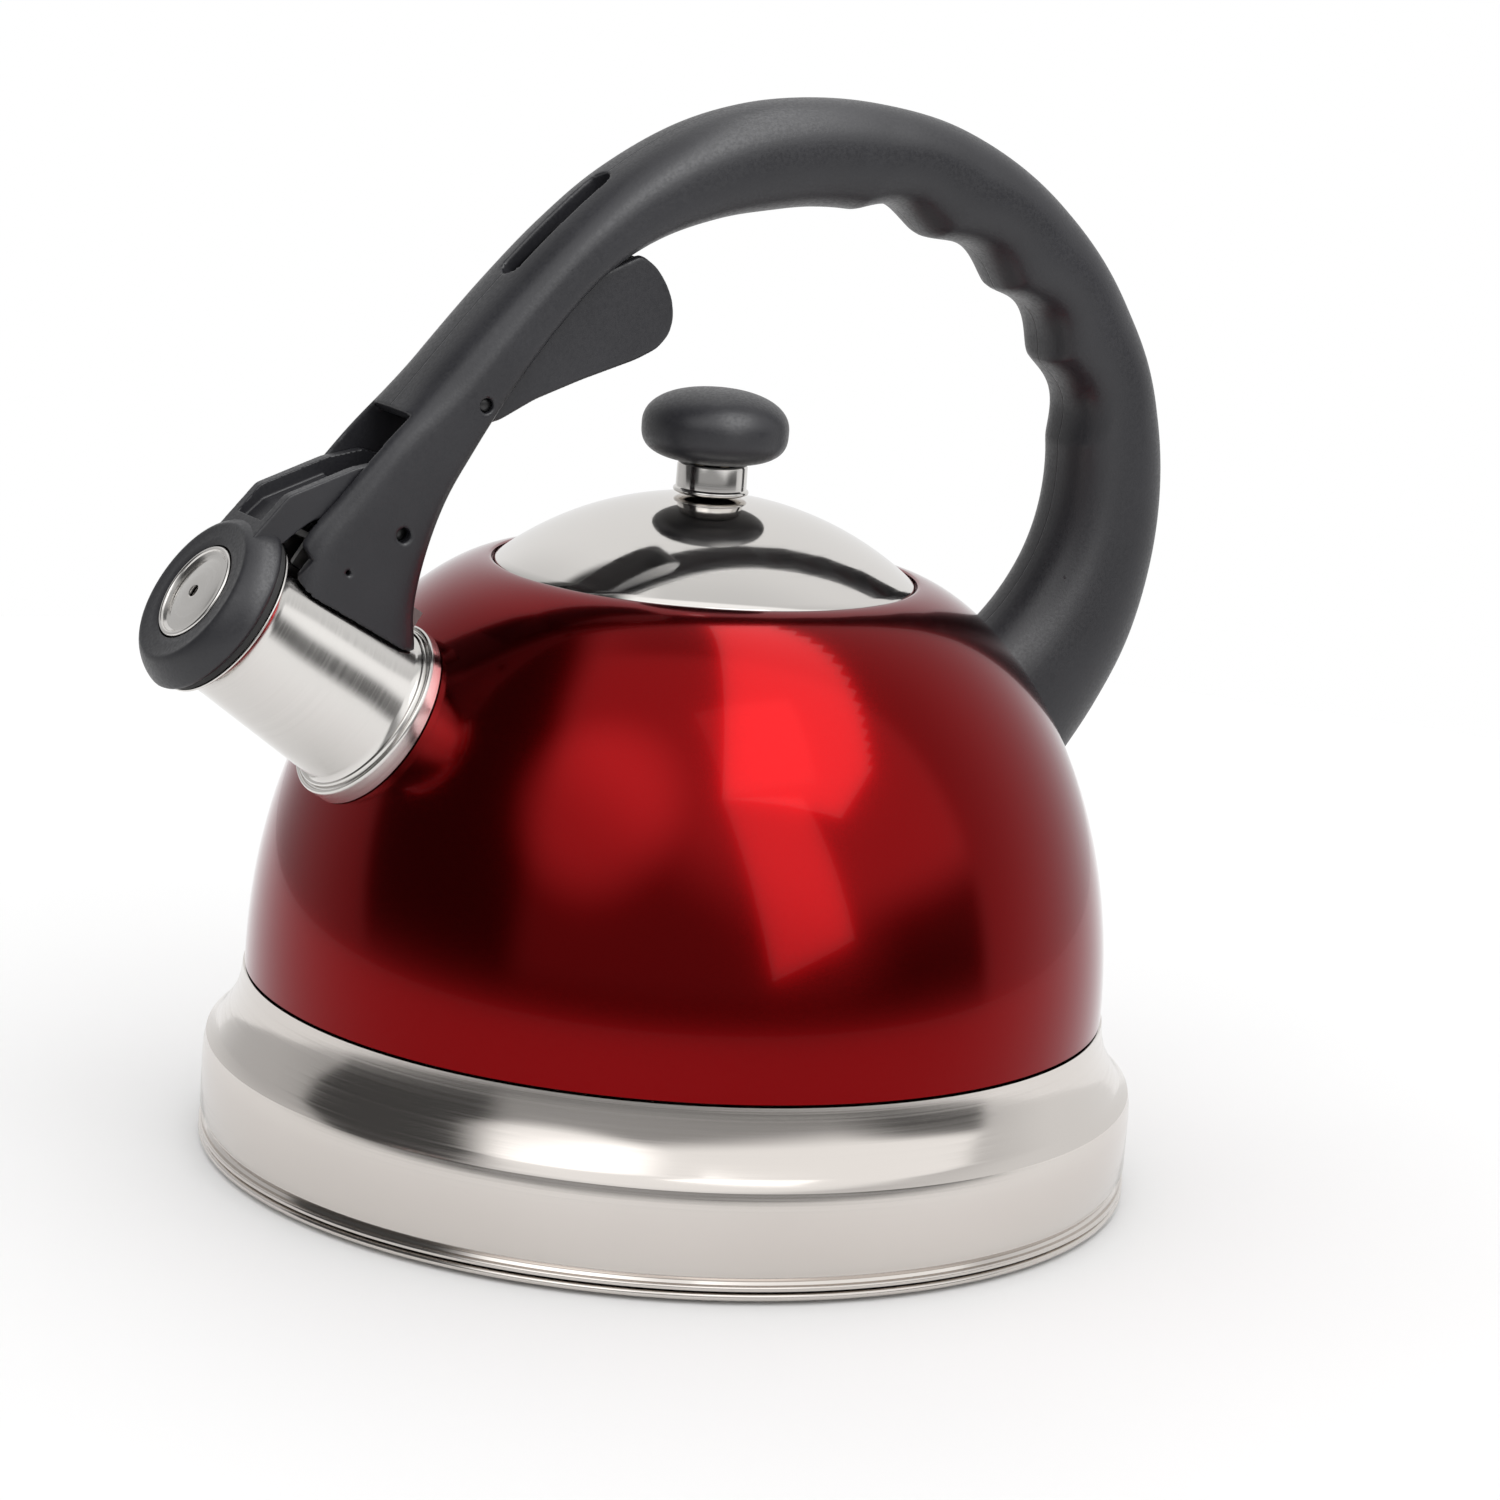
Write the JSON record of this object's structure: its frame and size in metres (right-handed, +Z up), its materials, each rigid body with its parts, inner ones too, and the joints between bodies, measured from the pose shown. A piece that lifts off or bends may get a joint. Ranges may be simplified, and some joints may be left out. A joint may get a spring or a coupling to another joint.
{
  "type": "stovetop whistling kettle",
  "caption": "Domed stovetop whistling kettle with a lift-off lid, an arched fixed handle, a short upturned spout and a trigger that tips the whistle cap.",
  "frame": {"origin": "centre of the flat base, on the surface that the kettle stands on", "axes": "+Z up; the handle and the spout lie in the XZ plane, with the spout towards -X and the back of the handle towards +X; Y across"},
  "size_m": [0.2545, 0.214, 0.2437],
  "materials": {
    "red_paint": "glossy translucent candy red over polished steel",
    "polished_steel": "mirror polished stainless steel",
    "satin_steel": "satin brushed stainless steel",
    "plain_steel": "plain steel hardware",
    "spring_steel": "drawn spring wire",
    "aluminium_core": "bare aluminium",
    "black_plastic": "fine-textured charcoal black moulded plastic",
    "black_rubber": "matt black silicone rubber",
    "brass": "turned brass"
  },
  "bodies": {
    "kettle": {"body_shell": "red_paint", "base_skirt": "polished_steel", "bottom_pan": "polished_steel", "heat_disc": "aluminium_core", "base_cap": "satin_steel", "spout_tube": "satin_steel", "front_bracket": "plain_steel", "foot_pin": "plain_steel", "rear_bracket": "plain_steel", "rear_screw": "plain_steel", "handle": "black_plastic", "trigger_pin": "plain_steel", "lever_pin": "plain_steel", "return_spring": "spring_steel"},
    "lid": {"lid_shell": "polished_steel", "lid_plug_ring": "satin_steel", "lid_washer": "plain_steel", "knob_screw": "plain_steel", "knob_collar": "polished_steel", "knob": "black_plastic", "knob_insert": "brass"},
    "trigger": {"trigger": "black_plastic"},
    "cap": {"cap_lever": "black_plastic", "cap_gasket": "black_rubber", "whistle_cup": "polished_steel", "whistle_back_plate": "satin_steel"}
  },
  "joints": [
    {"name": "lid_lift", "type": "slide", "parent": "kettle", "child": "lid", "axis": [0, 0, 1], "range_m": [0, 0.03]},
    {"name": "trigger_hinge", "type": "hinge", "parent": "kettle", "child": "trigger", "pos_m": [-0.0644, 0, 0.1766], "axis": [0, -1, 0], "range_deg": [0, 12]},
    {"name": "cap_hinge", "type": "hinge", "parent": "kettle", "child": "cap", "pos_m": [-0.0823, 0, 0.1487], "axis": [0, 1, 0], "range_deg": [0, 28.4], "stiffness_Nm_per_rad": 0.04, "springref_deg": -34.38, "deforming": ["return_spring"]}
  ],
  "couplings": [
    {"joint": "cap_hinge", "follows": "trigger_hinge", "ratio": 2.3625}
  ]
}
